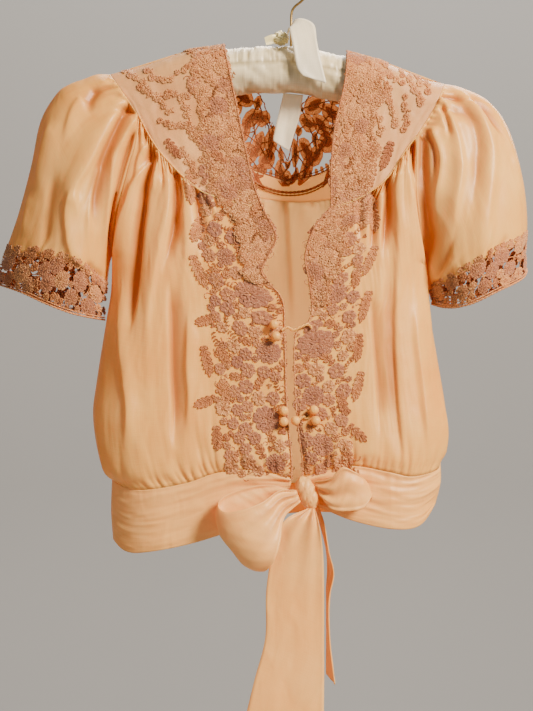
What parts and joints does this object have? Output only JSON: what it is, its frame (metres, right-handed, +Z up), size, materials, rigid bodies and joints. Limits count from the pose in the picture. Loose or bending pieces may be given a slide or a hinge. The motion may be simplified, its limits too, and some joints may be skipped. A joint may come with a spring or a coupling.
{
  "type": "bed jacket on a padded hanger",
  "caption": "Short-sleeved silk bed jacket with lace collar, yoke and cuffs, frog fastenings and a bow-tied waistband, hanging on a padded hanger.",
  "frame": {"origin": "inner top of the hanger's hook loop, where a rail holds it", "axes": "+Z up, +X to the picture's right, -Y out of the jacket's front; the hanger lies in the plane Y = 0"},
  "size_m": [0.5542, 0.14, 0.8246],
  "materials": {
    "silk": "peach silk, soft sheen",
    "band_silk": "pinker peach silk, finely creased",
    "lace": "matt corded lace",
    "satin": "ivory satin, shirred",
    "ribbon": "cream ribbon",
    "brass": "polished wire"
  },
  "bodies": {
    "root": {"front_left": "silk", "front_right": "silk", "back": "silk", "yoke_left": "silk", "yoke_right": "silk", "back_yoke": "silk", "sleeve_left": "silk", "sleeve_right": "silk", "frog_upper": "silk", "frog_lower": "silk", "button_1": "silk", "button_2": "silk", "button_3": "silk", "button_4": "silk", "button_5": "silk", "button_6": "silk", "button_7": "silk", "waistband_left": "band_silk", "waistband_right": "band_silk", "waistband_back": "band_silk", "tie_knot": "band_silk", "tie_loop_left": "band_silk", "tie_loop_right": "band_silk", "tie_tail_long": "band_silk", "tie_tail_short": "band_silk", "collar_lace_left": "lace", "collar_lace_right": "lace", "front_lace_left": "lace", "front_lace_right": "lace", "back_neck_lace": "lace", "cuff_left_front": "lace", "cuff_left_back": "lace", "cuff_right_front": "lace", "cuff_right_back": "lace", "hanger_bar": "satin", "ribbon_knot": "ribbon", "ribbon_front": "ribbon", "ribbon_back": "ribbon", "hanger_hook": "brass"}
  },
  "joints": []
}
